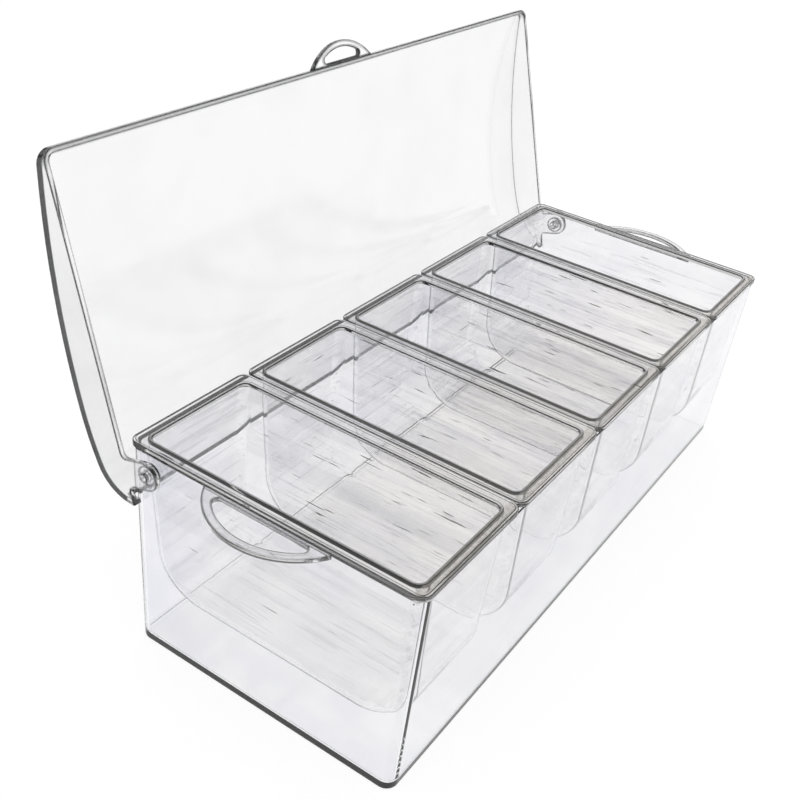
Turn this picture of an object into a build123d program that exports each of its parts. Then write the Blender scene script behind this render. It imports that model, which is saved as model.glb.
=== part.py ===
from build123d import *
import os
from math import asin, cos, pi, sin

# Bar garnish tray of clear moulded plastic: an ice tub, a row of lift-out food containers hung
# by their flanges on its rim, and a domed lid that hinges on two pins in the tub's end walls.
# Millimetres. +X runs along the row, -Y is the front, the hinge is at the back, +Z is up.
# The origin is the centre of the tub's underside. The lid is drawn shut and then swung open.

# Row of containers and their flanges
container_count = 5
container_pitch = 76.0
flange_gap = 0.6
flange_depth = 154.5
flange_thickness = 2.6
flange_strip = 6.2
flange_corner_radius = 5.0
flange_edge_radius = 0.6
mouth_edge_radius = 0.6

# One container below its flange
container_height = 89.0
container_wall = 2.0
container_floor = 2.2
container_side_lean = 6.5
container_end_lean = 3.0
container_keel_radius = 26.0
container_corner_radius = 6.0

# Ice tub
rim_height = 115.0
tub_wall = 2.5
tub_floor = 2.6
tub_side_lean = 2.5
tub_end_lean = 0.3
tub_corner_radius = 6.0
tub_foot_radius = 1.8
tub_cove_radius = 2.4
tub_rim_radius = 0.6
flange_side_overhang = 0.75
flange_end_overhang = 0.2
seat_clearance = 0.3

# Hinge: each pin is pressed into the tub's wall and boss, and runs in the lid's ear
pin_from_back = 14.25
pin_below_rim = 11.5
pin_radius = 2.3
pin_end_radius = 0.5
pin_running_clearance = 0.06
pin_proud = 0.9
boss_radius = 4.6
boss_proud = 0.7
boss_ear_clearance = 0.3

# Lid
open_angle = 106.2
lid_wall = 2.2
lid_end_wall = 2.6
lid_end_clearance = 2.0
lid_seat_clearance = 0.3
lid_stop_clearance = 0.3
lid_back_overhang = 3.0
lid_front_height = 4.4
lid_crown_height = 20.5
lid_crown_from_back = 45.5
lid_back_radius = 154.0
lid_shoulder_radius = 21.8
lid_corner_radius = 6.0
lid_edge_radius = 1.1
lid_rim_radius = 0.5
ear_radius = 7.1
ear_root_radius = 2.5

# Lid pull, bonded to the lid's front wall
pull_half_width = 25.0
pull_reach = 10.8
pull_band = 3.5
pull_strip = 1.3
pull_thickness = 2.9
pull_above_rim = 0.5
pull_edge_radius = 0.9
pull_eye_radius = 1.5

# Carrying handles, bonded to the tub's end walls
handle_half_width = 33.5
handle_reach = 19.9
handle_band = 4.5
handle_strip = 1.6
handle_thickness = 2.5
handle_edge_radius = 0.85
handle_eye_radius = 2.5

# How far a cutting tool or a bonded root runs past the face that it meets
overrun = 1.0

# Places that follow from the sizes above
flange_width = container_pitch - flange_gap
half_row = (container_count * container_pitch - flange_gap) / 2
half_depth = flange_depth / 2
flange_underside = rim_height - flange_thickness
tub_height = flange_underside - seat_clearance
tub_half_length = half_row - flange_end_overhang
tub_half_width = half_depth - flange_side_overhang
pin_y = half_depth - pin_from_back
pin_z = rim_height - pin_below_rim
lid_rim = rim_height + lid_seat_clearance
lid_inner_half_length = half_row + lid_end_clearance
lid_outer_half_length = lid_inner_half_length + lid_end_wall
boss_end = tub_half_length + boss_proud
lid_back = half_depth + lid_back_overhang


def tapered_block(length, width, bottom, top, length_lean, width_lean):
    """A block whose sides lean in from its top to its bottom by the given amounts."""

    def outline(span, lean):
        foot = span / 2 - lean
        corners = [(-span / 2, top), (span / 2, top), (foot, bottom), (-foot, bottom)]
        return Polygon(*corners, align=None)

    seen_from_front = extrude(Plane.XZ * outline(length, length_lean), width, both=True)
    seen_from_end = extrude(Plane.YZ * outline(width, width_lean), length, both=True)
    return seen_from_front & seen_from_end


def tub_form(inset, bottom, foot_radius):
    """The tub's outer form, or its hollow when inset by the wall."""
    form = tapered_block(
        2 * (tub_half_length - inset),
        2 * (tub_half_width - inset),
        bottom,
        tub_height,
        tub_end_lean,
        tub_side_lean,
    )
    level_edges = form.faces().filter_by(Axis.Z).edges()
    corners = [edge for edge in form.edges() if edge not in level_edges]
    form = fillet(corners, tub_corner_radius - inset)
    return fillet(form.faces().sort_by(Axis.Z)[0].edges(), foot_radius)


def across(radius, start, end):
    """A round bar along X on the hinge line, from one X to another."""
    bar = Rot(0, 90, 0) * Cylinder(radius, end - start)
    return Pos((start + end) / 2, pin_y, pin_z) * bar


def both_ends(shape):
    """A shape of the right-hand end with its mirror image at the left-hand end."""
    return shape + mirror(shape, about=Plane.YZ)


def make_tub():
    """Open tub with thin walls, and a boss and a pressed hole for each hinge pin."""
    tub = tub_form(0, 0, tub_foot_radius)
    tub += both_ends(across(boss_radius, tub_half_length - tub_wall, boss_end))
    tub -= tub_form(tub_wall, tub_floor, tub_cove_radius)
    tub -= both_ends(across(pin_radius, tub_half_length - tub_wall - overrun, boss_end + overrun))
    rim = tub.faces().filter_by(Axis.Z).sort_by(Axis.Z)[-1]
    return fillet(rim.edges(), tub_rim_radius)


def container_form(inset, floor_inset):
    """A container's outer form, or its hollow when inset by the wall and the floor."""
    mouth_length = flange_width - 2 * flange_strip
    mouth_width = flange_depth - 2 * flange_strip
    form = tapered_block(
        mouth_length + 2 * (container_wall - inset),
        mouth_width + 2 * (container_wall - inset),
        rim_height - container_height + floor_inset,
        rim_height,
        container_side_lean,
        container_end_lean,
    )
    keels = form.faces().sort_by(Axis.Z)[0].edges().filter_by(Axis.X)
    form = fillet(keels, container_keel_radius - inset)
    sides = form.faces().sort_by(Axis.X)
    mouth = form.faces().sort_by(Axis.Z)[-1].edges()
    rims = sides[0].edges() + sides[-1].edges()
    return fillet([edge for edge in rims if edge not in mouth], container_corner_radius - inset)


def make_container():
    """Food container: a deep thin-walled pan with a flat flange all round its mouth."""
    outline = RectangleRounded(flange_width, flange_depth, flange_corner_radius)
    pan = extrude(Pos(0, 0, flange_underside) * outline, flange_thickness)
    pan = fillet(pan.faces().sort_by(Axis.Z)[-1].edges(), flange_edge_radius)
    pan += container_form(0, 0)
    pan -= container_form(container_wall, container_floor)
    mouth = pan.faces().sort_by(Axis.Z)[-1].inner_wires()[0]
    return fillet(mouth.edges(), mouth_edge_radius)


def make_pin():
    """Hinge pin of the right-hand end, with its outer edge rounded."""
    pin = across(pin_radius, tub_half_length - tub_wall, lid_outer_half_length + pin_proud)
    return fillet(pin.faces().sort_by(Axis.X)[-1].edges(), pin_end_radius)


def on_arc(centre, radius, angle):
    """A point of an arc in the end view, with its angle counted from straight up to the back."""
    return (centre[0] + radius * sin(angle), centre[1] + radius * cos(angle))


def arc(centre, radius, start, end):
    """An arc in the end view, between two angles counted as in on_arc."""
    return ThreePointArc(
        on_arc(centre, radius, start),
        on_arc(centre, radius, (start + end) / 2),
        on_arc(centre, radius, end),
    )


def lid_section(inset):
    """The shut lid's section in the end view: front wall, long arc, crown, shoulder, back wall."""
    crown_y = lid_back - lid_crown_from_back
    crown_z = lid_rim + lid_crown_height
    run = crown_y + half_depth
    rise = lid_crown_height - lid_front_height
    front_radius = (run**2 + rise**2) / (2 * rise)
    front_centre = (crown_y, crown_z - front_radius)
    front_angle = asin((run - inset) / (front_radius - inset))
    back_centre = (crown_y, crown_z - lid_back_radius)
    shoulder_offset = lid_back_radius - lid_shoulder_radius
    shoulder_angle = asin((lid_back - lid_shoulder_radius - crown_y) / shoulder_offset)
    shoulder_centre = on_arc(back_centre, shoulder_offset, shoulder_angle)
    foot_z = min(shoulder_centre[1], lid_rim) - overrun
    roof = [
        arc(front_centre, front_radius - inset, -front_angle, 0),
        arc(back_centre, lid_back_radius - inset, 0, shoulder_angle),
        arc(shoulder_centre, lid_shoulder_radius - inset, shoulder_angle, pi / 2),
    ]
    walls = Polyline(
        roof[-1] @ 1,
        (lid_back - inset, foot_z),
        (inset - half_depth, foot_z),
        roof[0] @ 0,
    )
    return make_face(roof + [walls])


def above_rim():
    """The part of the end view above the shut lid's rim."""
    height = 2 * lid_crown_height
    return Pos(0, lid_rim + height / 2) * Rectangle(2 * flange_depth, height)


def front_corners(block):
    """The upright edges at the front of the lid's form or hollow."""
    front = block.faces().sort_by(Axis.Y)[0]
    return front.edges().filter_by(Axis.Z)


def lid_form():
    """The shut lid's outer form, with rounded front corners and eased roof edges."""
    section = Plane.YZ * (lid_section(0) & above_rim())
    form = extrude(section, lid_outer_half_length, both=True)
    form = fillet(front_corners(form), lid_corner_radius)
    rim = form.faces().sort_by(Axis.Z)[0].edges()
    ends = form.faces().sort_by(Axis.X)
    front = form.faces().sort_by(Axis.Y)[0]
    outline = ends[0].edges() + ends[-1].edges() + front.edges()
    kept = rim + outline.filter_by(Axis.Z)
    return fillet([edge for edge in outline if edge not in kept], lid_edge_radius)


def ear():
    """The tongue below the rim at each end of the lid, round the hinge pin."""
    drop = lid_rim - pin_z
    tongue = Pos(pin_y, pin_z + drop / 2) * Rectangle(2 * ear_radius, drop)
    tongue += Pos(pin_y, pin_z) * Circle(ear_radius)
    plate = (lid_section(0) & above_rim()) + tongue
    roots = plate.vertices().group_by(Axis.Y)
    roots = [group for group in roots if abs(group[0].Y - lid_rim) < lid_seat_clearance][0]
    roots = roots.sort_by(Axis.X)[1:-1]
    plate = fillet(roots, ear_root_radius)
    return extrude(Plane.YZ * (plate - above_rim()), lid_end_wall)


def keep_out():
    """What the open lid stays clear of between its ends: the tub and its flanges, grown."""
    foot_width = tub_half_width - tub_side_lean + lid_stop_clearance
    profile = Polygon(
        (0, 0),
        (foot_width, 0),
        (tub_half_width + lid_stop_clearance, tub_height),
        (half_depth + lid_stop_clearance, tub_height),
        (half_depth + lid_stop_clearance, lid_rim),
        (0, lid_rim),
        align=None,
    )
    return extrude(Plane.YZ * profile, half_row + lid_stop_clearance, both=True)


def swing(shape, angle):
    """Turns a shape about the hinge line, in degrees."""
    return Pos(0, pin_y, pin_z) * Rot(angle, 0, 0) * Pos(0, -pin_y, -pin_z) * shape


def make_lid():
    """Domed lid with end walls, an ear and a hub on each hinge pin and a bevelled back edge, shut."""
    hollow = extrude(Plane.YZ * lid_section(lid_wall), lid_inner_half_length, both=True)
    hollow = fillet(front_corners(hollow), lid_corner_radius - lid_wall)
    lid = lid_form() - hollow
    lid += both_ends(Pos(lid_inner_half_length, 0, 0) * ear())
    low = lid_rim + lid_seat_clearance
    lid = fillet([edge for edge in lid.edges() if edge.bounding_box().max.Z < low], lid_rim_radius)
    lid += both_ends(across(boss_radius, boss_end + boss_ear_clearance, lid_inner_half_length))
    bore = pin_radius + pin_running_clearance
    lid -= both_ends(across(bore, boss_end, lid_outer_half_length + overrun))
    return lid - swing(keep_out(), open_angle)


def grip(half_width, reach, band, strip, thickness, edge_radius, eye_radius):
    """A flat D-shaped loop lying level, its straight back on the X axis, reaching towards -Y."""
    radius = (half_width**2 + reach**2) / (2 * reach)
    centre = Pos(0, radius - reach)
    outside = Pos(0, (overrun - reach) / 2) * Rectangle(2 * radius, reach + overrun)
    outline = (centre * Circle(radius)) & outside
    inside = Pos(0, -(reach + strip) / 2) * Rectangle(2 * radius, reach - strip)
    eye = (centre * Circle(radius - band)) & inside
    eye = fillet(eye.vertices(), eye_radius)
    loop = extrude(outline - eye, thickness)
    back = loop.faces().sort_by(Axis.Y)[-1].edges()
    level = loop.faces().filter_by(Axis.Z).edges()
    return fillet([edge for edge in level if edge not in back], edge_radius)


def make_handle():
    """Carrying handle of the right-hand end, cut to lie on the tub's wall."""
    loop = grip(
        handle_half_width,
        handle_reach,
        handle_band,
        handle_strip,
        handle_thickness,
        handle_edge_radius,
        handle_eye_radius,
    )
    handle = Pos(tub_half_length, 0, tub_height - handle_thickness) * Rot(0, 0, 90) * loop
    return handle - tub_form(0, 0, tub_foot_radius)


def make_pull():
    """Finger pull of the shut lid, cut to lie on the lid's front wall."""
    loop = grip(
        pull_half_width,
        pull_reach,
        pull_band,
        pull_strip,
        pull_thickness,
        pull_edge_radius,
        pull_eye_radius,
    )
    return Pos(0, -half_depth, lid_rim + pull_above_rim) * loop - lid_form()


def write(node, shape):
    """Writes one node."""
    export_step(shape, f"parts/{node}.step")


os.makedirs("parts", exist_ok=True)
write("ice_tub", make_tub())
container = make_container()
for place in range(container_count):
    middle = (place - (container_count - 1) / 2) * container_pitch
    write(f"container_{place + 1}", Pos(middle, 0, 0) * container)
write("lid", swing(make_lid(), -open_angle))
write("lid_pull", swing(make_pull(), -open_angle))
for name, shape in (("hinge_pin", make_pin()), ("end_handle", make_handle())):
    write(f"{name}_right", shape)
    write(f"{name}_left", mirror(shape, about=Plane.YZ))
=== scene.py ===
import math

import bpy
from mathutils import Matrix, Vector

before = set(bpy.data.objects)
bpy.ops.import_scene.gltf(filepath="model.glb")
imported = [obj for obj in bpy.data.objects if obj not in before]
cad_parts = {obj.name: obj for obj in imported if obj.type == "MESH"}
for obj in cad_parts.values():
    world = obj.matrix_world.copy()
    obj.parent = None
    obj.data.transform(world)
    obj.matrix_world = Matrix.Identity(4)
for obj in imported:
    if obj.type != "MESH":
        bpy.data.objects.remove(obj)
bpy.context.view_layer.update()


def piece_box(name):
    """The lowest and the highest corner of a piece, in the frame's metres."""
    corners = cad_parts[name].bound_box
    return [Vector(list(map(pick, zip(*corners)))) for pick in (min, max)]


# The tray stands open on a white sweep. Everything on it is one clear moulded plastic, so its look is
# mostly in how each moulding bends and mirrors the studio, with painted shade in dark lines along its edges
# and rims and in darker patches, and painted reflections in streaks in the containers. Metres and degrees.
# A range is where something begins and where it is complete, and a noise is given by its scale, in features
# per metre, and its detail.

# The photograph's viewpoint, and its focal length in its own pixels.
CAMERA_AZIMUTH = -59.507
CAMERA_ELEVATION = 32.628
CAMERA_ROLL = 7.038
CAMERA_DISTANCE = 0.637219
CAMERA_TARGET = (0.003554, 0.058182, 0.051037)
CAMERA_SENSOR = 36.0
PHOTO_FOCAL_PIXELS = 1093.002
PHOTO_WIDTH_PIXELS = 800
CAMERA_CLIP_RANGE = (0.01, 100.0)

# The white sweep: paint that takes the shadow, and a glow that only cameras and mirror images see.
FLOOR_HALF_SIDE = 30.0
FLOOR_GAP = 0.0002
FLOOR_PAINT = (0.24, 0.24, 0.24)
FLOOR_GLOW = 0.88

# The studio's brightness by the sine of the height above the horizon, bright lights with dark gaps between.
STUDIO_LEVELS = (
    (0.0, 1.0), (0.16, 0.9), (0.19, 0.06), (0.30, 0.06), (0.33, 0.8), (0.40, 0.64), (0.58, 0.64),
    (0.63, 0.06), (0.72, 0.06), (0.75, 0.96), (0.88, 1.12), (0.90, 0.24), (0.93, 0.24), (0.95, 1.12),
    (1.0, 1.12),
)
STUDIO_BACKDROP = 1.0
LIGHT_BOUNCES = {
    "max_bounces": 32, "transmission_bounces": 32, "glossy_bounces": 16, "transparent_max_bounces": 16,
}

# The containers' rims are alike, a pitch apart along X, and the middle one is centred on the frame.
CONTAINER_PITCH = piece_box("container_4")[0].x - piece_box("container_3")[0].x
RIM_HALF_SIZE = piece_box("container_3")[1].xy
RIM_TOP = piece_box("container_3")[1].z
RIM_STRIP = 0.0062
RIM_CORNER = 0.005
RIM_SIDE_RANGE = (RIM_TOP - 0.0008, RIM_TOP - 0.0004)
MOUTH_HALF_SIZE = [half - RIM_STRIP for half in RIM_HALF_SIZE]
MOUTH_CORNER = 0.004
TRAY_FRONT_RANGE = (-MOUTH_HALF_SIZE[1], -MOUTH_HALF_SIZE[1] - 0.001)

# The painted shade lines round a rim: how far each lies outside the mouth or the outline, and half its
# width.
MOUTH_LINES = ((0.0001, 0.0002), (0.0015, 0.00016))
OUTLINE_LINES = ((-0.0003, 0.00016), (-0.0014, 0.00016))
LINE_FADE_SHARES = (0.6, 1.2)

# A rim's cloudy plastic: its grain, its colours with painted shade darker and warmer along the tray's
# front, and how far it hides what is under it.
GRAIN_NOISE = (900.0, 2.0)
GRAIN_RANGE = (0.35, 0.65)
RIM_COLOURS = ((0.96, 0.96, 0.955), (0.995, 0.995, 0.99))
SHADED_FRONT_RIM_COLOURS = ((0.66, 0.62, 0.57), (0.93, 0.90, 0.86))
LIP_RANGE = (0.0009, 0.0013)
LIP_CLOUD = 0.5
RIM_CLOUD = 0.1
FRONT_CLOUD = 0.4
LINE_CLOUD = 0.7

# Streaks run along the tray's depth, and along its length on faces that turn to its back or front. The wide
# and narrow streaks are painted reflections and the dashes painted shade in the containers' colour; the
# waves are bumps.
FACES_OUT_RANGE = (0.15, 0.4)
STREAK_STRETCH = 0.05
WAVE_NOISE = (60.0, 2.0)
WIDE_STREAK_NOISE = (85.0, 2.0)
WIDE_STREAK_RANGE = (0.55, 0.59)
WIDE_STREAK_DEPTH = 0.28
NARROW_STREAK_NOISE = (420.0, 3.0)
NARROW_STREAK_RANGE = (0.635, 0.66)
NARROW_STREAK_DEPTH = 0.75
MORE_STREAKS_ON_FACES = 0.05
MORE_STREAKS_PER_METRE = 0.05
DASH_NOISE = (600.0, 2.0)
DASH_RANGE = (0.732, 0.747)

# Wide faint clouds, and the unevenness of the gloss.
CLOUD_NOISE = (18.0, 3.0)
CLOUD_RANGE = (0.42, 0.75)
HAZE_NOISE = (40.0, 4.0)
HAZE_RANGE = (0.35, 0.75)

# Where painted shade darkens the containers towards their back ends, and where the painted shade edge lines
# widen on the open lid's top.
BACK_END_RANGE = (0.02, 0.06)
LINE_REACH = 0.0008
LID_TOP_RANGE = (0.226, 0.230)
LID_TOP_LINE_REACH = 0.0019
PULL_RANGE = (0.19, 0.20)
PULL_LINE_REACH = 0.0013
LINE_START_SHARE = 0.2
BEVEL_SAMPLES = 4

# The colour of the painted shade in the edge lines, rim lines and dashes, and how strongly all the plastic
# bends light.
PAINTED_SHADE_COLOUR = (0.002, 0.002, 0.0025)
PLASTIC_IOR = 1.5


def new_material(name):
    """An empty node material and its node tree."""
    material = bpy.data.materials.new(name)
    material.use_nodes = True
    tree = material.node_tree
    tree.nodes.clear()
    return material, tree


def node(tree, kind, **settings):
    """A shader node with its properties set."""
    made = tree.nodes.new(kind)
    for name, value in settings.items():
        setattr(made, name, value)
    return made


def math_node(tree, operation, a, b=None):
    """A Math node fed by sockets or plain numbers."""
    made = node(tree, "ShaderNodeMath", operation=operation)
    for place, value in enumerate((a, b)):
        if value is None:
            continue
        if isinstance(value, (int, float)):
            made.inputs[place].default_value = value
        else:
            tree.links.new(value, made.inputs[place])
    return made.outputs[0]


def greatest(tree, values):
    """The greatest of several sockets."""
    most = values[0]
    for value in values[1:]:
        most = math_node(tree, "MAXIMUM", most, value)
    return most


def mixed_number(tree, factor, a, b):
    """A number between the sockets a and b."""
    made = node(tree, "ShaderNodeMix", data_type="FLOAT")
    for name, value in (("Factor", factor), ("A", a), ("B", b)):
        tree.links.new(value, made.inputs[name])
    return made.outputs["Result"]


def mixed_colour(tree, factor, a, b):
    """A colour between a and b, which are sockets or plain colours."""
    made = node(tree, "ShaderNodeMix", data_type="RGBA")
    tree.links.new(factor, made.inputs["Factor"])
    for name, value in (("A", a), ("B", b)):
        socket = [one for one in made.inputs if one.name == name and one.type == "RGBA"][0]
        if isinstance(value, tuple):
            socket.default_value = (*value, 1)
        else:
            tree.links.new(value, socket)
    return [one for one in made.outputs if one.type == "RGBA"][0]


def spread(tree, value, source, target=(0.0, 1.0)):
    """Maps a value from one range to another and holds it there."""
    made = node(tree, "ShaderNodeMapRange")
    for name, number in zip(("From Min", "From Max", "To Min", "To Max"), (*source, *target)):
        made.inputs[name].default_value = number
    tree.links.new(value, made.inputs["Value"])
    return made.outputs["Result"]


def seen_directly(tree):
    """1 for camera, glossy and transmission rays, 0 for the rays that only light things."""
    path = node(tree, "ShaderNodeLightPath")
    kinds = ("Is Camera Ray", "Is Glossy Ray", "Is Transmission Ray")
    return greatest(tree, [path.outputs[kind] for kind in kinds])


def object_axes(tree):
    """X, Y and Z in the object's own metres."""
    where = node(tree, "ShaderNodeTexCoord")
    parts = node(tree, "ShaderNodeSeparateXYZ")
    tree.links.new(where.outputs["Object"], parts.inputs["Vector"])
    return parts.outputs


def noise(tree, scale, detail, stretch=(1, 1, 1)):
    """Noise in the object's own metres, drawn out along the axes with small stretch numbers."""
    where = node(tree, "ShaderNodeTexCoord")
    turn = node(tree, "ShaderNodeMapping")
    turn.inputs["Scale"].default_value = stretch
    tree.links.new(where.outputs["Object"], turn.inputs["Vector"])
    made = node(tree, "ShaderNodeTexNoise")
    made.inputs["Scale"].default_value = scale
    made.inputs["Detail"].default_value = detail
    tree.links.new(turn.outputs["Vector"], made.inputs["Vector"])
    return made.outputs["Fac"]


def painted_edge_shade(tree, reach, turn):
    """1 in a thin line of painted shade along each sharp edge, where the plastic looks dark.

    The face's normal is rounded over the reach, and the line is full where their cosine is 1 - turn. The
    reach is a length, or a function that makes its socket.
    """
    bevel = node(tree, "ShaderNodeBevel", samples=BEVEL_SAMPLES)
    if isinstance(reach, float):
        bevel.inputs["Radius"].default_value = reach
    else:
        tree.links.new(reach(tree), bevel.inputs["Radius"])
    flat = node(tree, "ShaderNodeNewGeometry")
    dot = node(tree, "ShaderNodeVectorMath", operation="DOT_PRODUCT")
    tree.links.new(bevel.outputs["Normal"], dot.inputs[0])
    tree.links.new(flat.outputs["Normal"], dot.inputs[1])
    return spread(tree, dot.outputs["Value"], (1 - LINE_START_SHARE * turn, 1 - turn))


def lid_reach(tree):
    """How far the lid's edge lines reach: further on its front wall, which is on top while it is open."""
    return spread(tree, object_axes(tree)["Z"], LID_TOP_RANGE, (LINE_REACH, LID_TOP_LINE_REACH))


def trim_reach(tree):
    """How far the edge lines reach on the handles, and further on the pull, high on the open lid."""
    return spread(tree, object_axes(tree)["Z"], PULL_RANGE, (LINE_REACH, PULL_LINE_REACH))


def from_outline(tree, half_size, corner):
    """Distance from a container's round-cornered outline, below 0 inside it."""
    axes = object_axes(tree)
    along = node(tree, "ShaderNodeMath", operation="WRAP")
    along.inputs[1].default_value = CONTAINER_PITCH / 2
    along.inputs[2].default_value = -CONTAINER_PITCH / 2
    tree.links.new(axes["X"], along.inputs[0])
    past = []
    for place, half in zip((along.outputs[0], axes["Y"]), half_size):
        past.append(math_node(tree, "SUBTRACT", math_node(tree, "ABSOLUTE", place), half - corner))
    squares = [math_node(tree, "POWER", math_node(tree, "MAXIMUM", one, 0.0), 2.0) for one in past]
    outside = math_node(tree, "SQRT", math_node(tree, "ADD", *squares))
    inside = math_node(tree, "MINIMUM", greatest(tree, past), 0.0)
    return math_node(tree, "SUBTRACT", math_node(tree, "ADD", outside, inside), corner)


def thin_line(tree, distance, at, half_width):
    """1 in a thin line at a given distance from an outline."""
    off = math_node(tree, "ABSOLUTE", math_node(tree, "SUBTRACT", distance, at))
    return spread(tree, off, [share * half_width for share in LINE_FADE_SHARES], (1.0, 0.0))


def on_rim(tree):
    """1 on the top of a container's rim and on its roundings."""
    return spread(tree, object_axes(tree)["Z"], RIM_SIDE_RANGE)


def rim_lines(tree):
    """The fine painted shade lines that run round a rim, two at the mouth and two at its outline."""
    mouth = from_outline(tree, MOUTH_HALF_SIZE, MOUTH_CORNER)
    outline = from_outline(tree, RIM_HALF_SIZE, RIM_CORNER)
    painted_lines = [thin_line(tree, mouth, *line) for line in MOUTH_LINES]
    painted_lines += [thin_line(tree, outline, *line) for line in OUTLINE_LINES]
    return greatest(tree, painted_lines)


def tray_front(tree):
    """1 on the strip of each rim that runs along the tray's front."""
    return spread(tree, object_axes(tree)["Y"], TRAY_FRONT_RANGE)


def rim_fill(tree):
    """A rim's cloudy plastic, with painted shade that makes it warmer and darker along the tray's front."""
    grain = spread(tree, noise(tree, *GRAIN_NOISE), GRAIN_RANGE)
    pale = mixed_colour(tree, grain, *RIM_COLOURS)
    front_shade = mixed_colour(tree, grain, *SHADED_FRONT_RIM_COLOURS)
    return mixed_colour(tree, tray_front(tree), pale, front_shade)


def rim_cloud(tree, painted_lines):
    """How far a rim hides what is under it: most at its lip, along the tray's front under its painted shade
    and on its painted shade lines.
    """
    mouth = from_outline(tree, MOUTH_HALF_SIZE, MOUTH_CORNER)
    lip = spread(tree, mouth, LIP_RANGE, (LIP_CLOUD, RIM_CLOUD))
    front = math_node(tree, "MULTIPLY", tray_front(tree), FRONT_CLOUD)
    return greatest(tree, [lip, front, math_node(tree, "MULTIPLY", painted_lines, LINE_CLOUD)])


def faces_out(tree):
    """1 where a face turns to the tray's back or front."""
    flat = node(tree, "ShaderNodeNewGeometry")
    parts = node(tree, "ShaderNodeSeparateXYZ")
    tree.links.new(flat.outputs["Normal"], parts.inputs["Vector"])
    return spread(tree, math_node(tree, "ABSOLUTE", parts.outputs["Y"]), FACES_OUT_RANGE)


def back_end(tree):
    """0 to 1 towards the back ends of the containers, where painted shade darkens them."""
    return spread(tree, object_axes(tree)["Y"], BACK_END_RANGE)


def streaks(tree, across):
    """Noise drawn out along the tray's depth, and along its length where a face turns out."""
    deep = noise(tree, *across, (1.0, STREAK_STRETCH, 1.0))
    long = noise(tree, *across, (STREAK_STRETCH, 1.0, 1.0))
    return mixed_number(tree, faces_out(tree), deep, long)


def soft_smears(tree):
    """A few wide faint clouds."""
    return spread(tree, noise(tree, *CLOUD_NOISE), CLOUD_RANGE)


def streak_reflections(tree):
    """Painted reflections: wide and narrow dark streaks, more of them to the tray's right."""
    on_faces = math_node(tree, "MULTIPLY", faces_out(tree), MORE_STREAKS_ON_FACES)
    to_right = math_node(tree, "MULTIPLY", object_axes(tree)["X"], MORE_STREAKS_PER_METRE)
    more = math_node(tree, "ADD", on_faces, to_right)
    wide = math_node(tree, "ADD", streaks(tree, WIDE_STREAK_NOISE), more)
    narrow = math_node(tree, "ADD", streaks(tree, NARROW_STREAK_NOISE), more)
    return greatest(tree, [
        spread(tree, wide, WIDE_STREAK_RANGE, (0.0, WIDE_STREAK_DEPTH)),
        spread(tree, narrow, NARROW_STREAK_RANGE, (0.0, NARROW_STREAK_DEPTH)),
    ])


def dashes(tree):
    """Short hair-thin lines of painted shade among the streaks."""
    return spread(tree, streaks(tree, DASH_NOISE), DASH_RANGE)


def clear_plastic(name, tint, smears_and_reflections, smear_and_reflection_tint, reach, turn, haze, waves, painted_shade=None, has_rim=False):
    """Clear moulded plastic: painted shade in thin dark lines at its edges, faint smears and slow flow
    waves in its surface.

    On the containers the smears are painted reflections in dark streaks, and the rims add painted shade
    lines and dashes.
    Reach and turn are those of its edge lines, haze is its lowest roughness, waves the height of its flow
    waves in metres, and painted shade a function with the darker tint it paints where that function is 1.
    """
    material, tree = new_material(name)
    out = node(tree, "ShaderNodeOutputMaterial")
    shader = node(tree, "ShaderNodeBsdfPrincipled")
    shader.inputs["Transmission Weight"].default_value = 1.0
    shader.inputs["IOR"].default_value = PLASTIC_IOR
    # Painted shade: the tint turns darker where the shade's function is 1.
    if painted_shade:
        where, painted_shade_tint = painted_shade
        tint = mixed_colour(tree, where(tree), tint, painted_shade_tint)
    # Smears: clouds of tone, and on the containers painted reflections in dark streaks.
    colour = mixed_colour(tree, smears_and_reflections(tree), tint, smear_and_reflection_tint)
    painted_lines = painted_edge_shade(tree, reach, turn)
    if has_rim:
        rim = on_rim(tree)
        colour = mixed_colour(tree, rim, colour, rim_fill(tree))
        # Painted shade in fine lines round the rim, and in dashes among the streaks.
        rim_shade_lines = math_node(tree, "MULTIPLY", rim, rim_lines(tree))
        painted_lines = greatest(tree, [painted_lines, rim_shade_lines, dashes(tree)])
        cloud = math_node(tree, "MULTIPLY", rim_cloud(tree, rim_shade_lines), rim)
        tree.links.new(math_node(tree, "SUBTRACT", 1.0, cloud), shader.inputs["Transmission Weight"])
    # Painted shade darkens the colour along the edge lines, rim lines and dashes.
    tree.links.new(mixed_colour(tree, painted_lines, colour, PAINTED_SHADE_COLOUR), shader.inputs["Base Color"])
    bump = node(tree, "ShaderNodeBump")
    bump.inputs["Strength"].default_value = 1.0
    bump.inputs["Distance"].default_value = waves
    tree.links.new(streaks(tree, WAVE_NOISE), bump.inputs["Height"])
    tree.links.new(bump.outputs["Normal"], shader.inputs["Normal"])
    roughness = spread(tree, noise(tree, *HAZE_NOISE), HAZE_RANGE, (haze, 2 * haze))
    tree.links.new(roughness, shader.inputs["Roughness"])
    tree.links.new(shader.outputs["BSDF"], out.inputs["Surface"])
    return material


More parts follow.
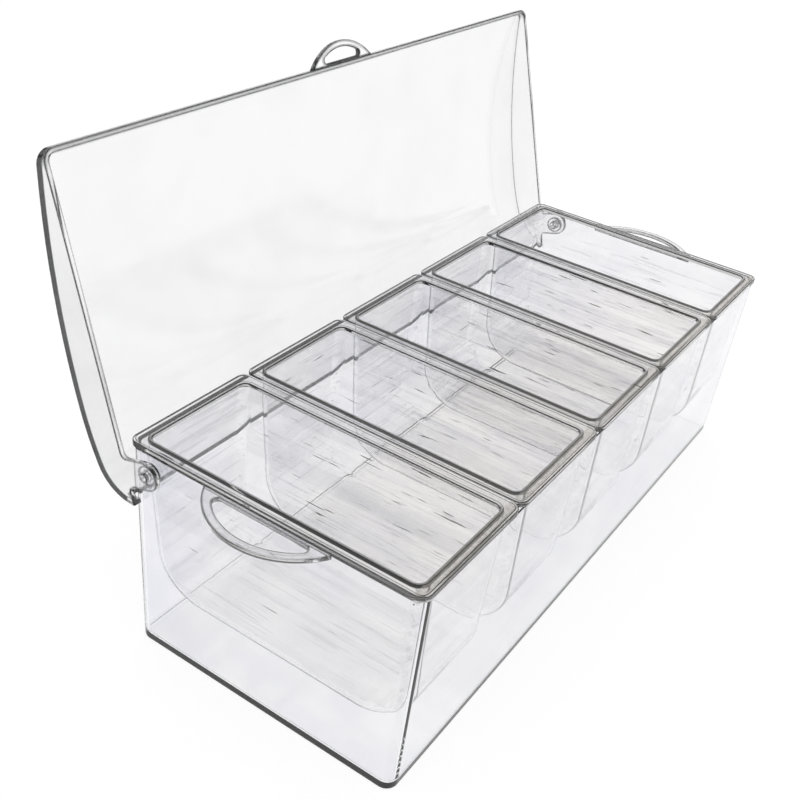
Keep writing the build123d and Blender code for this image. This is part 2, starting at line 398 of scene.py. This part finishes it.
def dress_tray():
    """Gives every piece of the tray its plastic."""
    # Painted shade darkens the tub's faces that turn to the tray's back or front, and the containers
    # towards their back ends.
    tub_plastic = clear_plastic(
        "tub_plastic", tint=(0.975, 0.975, 0.985), smears_and_reflections=soft_smears, smear_and_reflection_tint=(0.87, 0.87, 0.92),
        reach=0.0006, turn=0.013, haze=0.008, waves=0.00004, painted_shade=(faces_out, (0.95, 0.95, 0.965)),
    )
    container_plastic = clear_plastic(
        "container_plastic", tint=(0.995, 0.99, 0.98), smears_and_reflections=streak_reflections, smear_and_reflection_tint=(0.68, 0.68, 0.71),
        reach=0.0004, turn=0.025, haze=0.008, waves=0.00008, painted_shade=(back_end, (0.95, 0.95, 0.955)),
        has_rim=True,
    )
    lid_plastic = clear_plastic(
        "lid_plastic", tint=(0.92, 0.92, 0.92), smears_and_reflections=soft_smears, smear_and_reflection_tint=(0.88, 0.88, 0.885),
        reach=lid_reach, turn=0.013, haze=0.05, waves=0.00004,
    )
    trim_plastic = clear_plastic(
        "trim_plastic", tint=(0.995, 0.995, 0.997), smears_and_reflections=soft_smears, smear_and_reflection_tint=(0.93, 0.93, 0.93),
        reach=trim_reach, turn=0.013, haze=0.008, waves=0.00002,
    )
    plastics = {"ice_tub": tub_plastic, "lid": lid_plastic}
    for name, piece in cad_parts.items():
        plastic = container_plastic if name.startswith("container") else plastics.get(name, trim_plastic)
        for slot in piece.material_slots:
            slot.material = plastic


def make_floor():
    """A wide white sweep that shows the object's shadow."""
    signs = ((-1, -1), (1, -1), (1, 1), (-1, 1))
    corners = [(x * FLOOR_HALF_SIDE, y * FLOOR_HALF_SIDE, -FLOOR_GAP) for x, y in signs]
    mesh = bpy.data.meshes.new("floor")
    mesh.from_pydata(corners, [], [(0, 1, 2, 3)])
    floor = bpy.data.objects.new("floor", mesh)
    bpy.context.collection.objects.link(floor)
    material, tree = new_material("white_sweep")
    out = node(tree, "ShaderNodeOutputMaterial")
    paint = node(tree, "ShaderNodeBsdfDiffuse")
    paint.inputs["Color"].default_value = (*FLOOR_PAINT, 1)
    glow = node(tree, "ShaderNodeEmission")
    tree.links.new(math_node(tree, "MULTIPLY", seen_directly(tree), FLOOR_GLOW), glow.inputs["Strength"])
    both = node(tree, "ShaderNodeAddShader")
    tree.links.new(paint.outputs["BSDF"], both.inputs[0])
    tree.links.new(glow.outputs["Emission"], both.inputs[1])
    tree.links.new(both.outputs["Shader"], out.inputs["Surface"])
    mesh.materials.append(material)


def studio_ramp(tree):
    """The studio's brightness by height."""
    where = node(tree, "ShaderNodeTexCoord")
    parts = node(tree, "ShaderNodeSeparateXYZ")
    tree.links.new(where.outputs["Generated"], parts.inputs["Vector"])
    ramp = node(tree, "ShaderNodeValToRGB")
    stops = ramp.color_ramp.elements
    stops.remove(stops[1])
    for place, (height, level) in enumerate(STUDIO_LEVELS):
        stop = stops[0] if place == 0 else stops.new(height)
        stop.position = height
        stop.color = (level, level, level, 1)
    tree.links.new(parts.outputs["Z"], ramp.inputs["Fac"])
    return ramp.outputs["Color"]


def make_world():
    """A studio with dark gaps between its soft lights, plain white where the camera sees it directly."""
    world = bpy.data.worlds.new("studio")
    bpy.context.scene.world = world
    world.use_nodes = True
    tree = world.node_tree
    tree.nodes.clear()
    out = node(tree, "ShaderNodeOutputWorld")
    back = node(tree, "ShaderNodeBackground")
    back.inputs["Color"].default_value = (1, 1, 1, 1)
    path = node(tree, "ShaderNodeLightPath")
    mixed = node(tree, "ShaderNodeMix", data_type="FLOAT")
    tree.links.new(path.outputs["Is Camera Ray"], mixed.inputs["Factor"])
    tree.links.new(studio_ramp(tree), mixed.inputs["A"])
    mixed.inputs["B"].default_value = STUDIO_BACKDROP
    tree.links.new(mixed.outputs["Result"], back.inputs["Strength"])
    tree.links.new(back.outputs["Background"], out.inputs["Surface"])


def make_camera():
    """The photograph's viewpoint."""
    azimuth, elevation, roll = map(math.radians, (CAMERA_AZIMUTH, CAMERA_ELEVATION, CAMERA_ROLL))
    level_share = math.cos(elevation)
    back = Vector((math.sin(azimuth) * level_share, -math.cos(azimuth) * level_share, math.sin(elevation)))
    level = Vector((0, 0, 1)).cross(back).normalized()
    upright = back.cross(level)
    right = math.cos(roll) * level + math.sin(roll) * upright
    up = math.cos(roll) * upright - math.sin(roll) * level
    camera = bpy.data.objects.new("camera", bpy.data.cameras.new("camera"))
    bpy.context.collection.objects.link(camera)
    camera.data.sensor_width = CAMERA_SENSOR
    camera.data.lens = PHOTO_FOCAL_PIXELS * CAMERA_SENSOR / PHOTO_WIDTH_PIXELS
    camera.data.clip_start, camera.data.clip_end = CAMERA_CLIP_RANGE
    turn = Matrix((right, up, back)).transposed().to_4x4()
    camera.matrix_world = Matrix.Translation(Vector(CAMERA_TARGET) + back * CAMERA_DISTANCE) @ turn
    bpy.context.scene.camera = camera


def set_up_render():
    """Plain colours, and enough bounces for light to pass through the whole tray."""
    scene = bpy.context.scene
    scene.view_settings.view_transform = "Standard"
    for name, bounces in LIGHT_BOUNCES.items():
        setattr(scene.cycles, name, bounces)


dress_tray()
make_floor()
make_world()
make_camera()
set_up_render()
